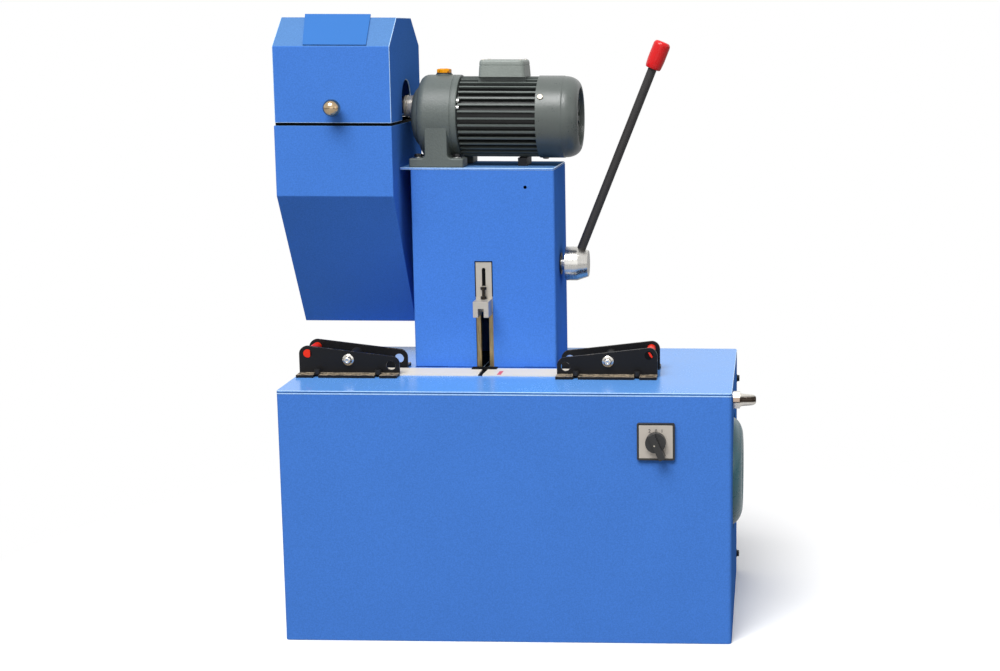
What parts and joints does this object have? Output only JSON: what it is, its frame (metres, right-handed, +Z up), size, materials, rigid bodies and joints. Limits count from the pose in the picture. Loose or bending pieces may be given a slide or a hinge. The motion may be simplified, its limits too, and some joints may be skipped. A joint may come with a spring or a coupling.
{
  "type": "hose cutting and skiving machine",
  "caption": "Workshop machine for hydraulic hose: cabinet with cutting station, lever-driven jaw, hose brackets, and a geared skiving head inside a hinged guard.",
  "frame": {"origin": "on the floor, at the middle of the cabinet's footprint", "axes": "+X to the operator's right, +Y away from the operator, +Z up"},
  "size_m": [0.843, 0.4225, 1.073],
  "materials": {
    "blue_powder": "fine textured powder coat",
    "tan_steel": "ground, slightly stained",
    "steel": "brushed",
    "bright_steel": "bright",
    "black_metal": "black oxide",
    "cast_grey": "grey-green cast paint",
    "teal": "glossy enamel",
    "white_plastic": "smooth",
    "red_plastic": "glossy",
    "amber_plastic": "glossy",
    "rubber": "smooth",
    "black_plastic": "satin"
  },
  "bodies": {
    "frame": {"cabinet_shell": "blue_powder", "rear_cover": "blue_powder", "cover_posts": "blue_powder", "table_plate": "blue_powder", "wear_strip": "white_plastic", "throat_plate": "black_metal", "column_shell": "blue_powder", "column_rear_cover": "blue_powder", "column_cap": "blue_powder", "guide_rails": "tan_steel", "hose_brackets": "black_metal", "cross_bolts": "bright_steel", "tie_rods": "red_plastic", "guard_box": "blue_powder", "guard_hinge_base": "steel", "gear_housing": "cast_grey", "breather_plug": "amber_plastic", "motor_frame": "cast_grey", "terminal_box": "cast_grey", "fan_cowl": "cast_grey", "motor_rest": "rubber", "cutting_motor_frame": "cast_grey", "cutting_motor_cowl": "teal", "motor_base": "blue_powder", "arbor_housing": "steel", "drive_case": "cast_grey", "switch_plate": "black_plastic", "air_nipple": "bright_steel", "lever_bearings": "steel"},
    "lid": {"guard_lid": "blue_powder", "lid_plate": "blue_powder", "lid_fittings": "bright_steel"},
    "lever": {"lever_shaft": "steel", "lever_handle": "black_metal"},
    "jaw": {"slide_plate": "steel", "jaw_block": "steel", "jaw_carriage": "steel", "slide_bolt": "bright_steel"},
    "switch": {"switch_knob": "black_plastic"},
    "spindle": {"skiving_head": "steel", "tool_holder": "steel"},
    "gearmotor_rotor": {"gearmotor_rotor": "steel"},
    "cutting_rotor": {"cutting_rotor": "steel"},
    "arbor": {"blade_arbor": "steel"},
    "roller_left": {"hose_roller_left": "steel"},
    "roller_right": {"hose_roller_right": "steel"}
  },
  "joints": [
    {"name": "lid_hinge", "type": "hinge", "parent": "frame", "child": "lid", "pos_m": [-0.315, 0.199, 0.8795], "axis": [-1, 0, 0], "range_deg": [0, 100]},
    {"name": "lever_turn", "type": "hinge", "parent": "frame", "child": "lever", "pos_m": [0, 0.08, 0.62], "axis": [1, 0, 0], "range_deg": [0, 115]},
    {"name": "jaw_slide", "type": "slide", "parent": "frame", "child": "jaw", "axis": [0, 0, -1], "range_m": [0, 0.0726]},
    {"name": "switch_turn", "type": "hinge", "parent": "frame", "child": "switch", "pos_m": [0.257, -0.201, 0.3575], "axis": [0, 1, 0], "range_deg": [0, 48]},
    {"name": "spindle_turn", "type": "hinge", "parent": "frame", "child": "spindle", "pos_m": [-0.25, 0.08, 0.906], "axis": [1, 0, 0], "continuous": true},
    {"name": "gearmotor_turn", "type": "hinge", "parent": "frame", "child": "gearmotor_rotor", "pos_m": [-0.043, 0.08, 0.888], "axis": [1, 0, 0], "continuous": true},
    {"name": "cutting_motor_turn", "type": "hinge", "parent": "frame", "child": "cutting_rotor", "pos_m": [0.2, -0.03, 0.262], "axis": [1, 0, 0], "continuous": true},
    {"name": "arbor_turn", "type": "hinge", "parent": "frame", "child": "arbor", "pos_m": [-0.065, 0.035, 0.313], "axis": [1, 0, 0], "continuous": true},
    {"name": "roller_left_turn", "type": "hinge", "parent": "frame", "child": "roller_left", "pos_m": [-0.294, -0.0345, 0.468], "axis": [0, 1, 0], "continuous": true},
    {"name": "roller_right_turn", "type": "hinge", "parent": "frame", "child": "roller_right", "pos_m": [0.164, -0.0345, 0.468], "axis": [0, 1, 0], "continuous": true}
  ],
  "couplings": [
    {"joint": "jaw_slide", "follows": "lever_turn", "m_per_rad": 0.036},
    {"joint": "gearmotor_turn", "follows": "spindle_turn", "ratio": 7.5},
    {"joint": "arbor_turn", "follows": "cutting_motor_turn", "ratio": 1}
  ]
}
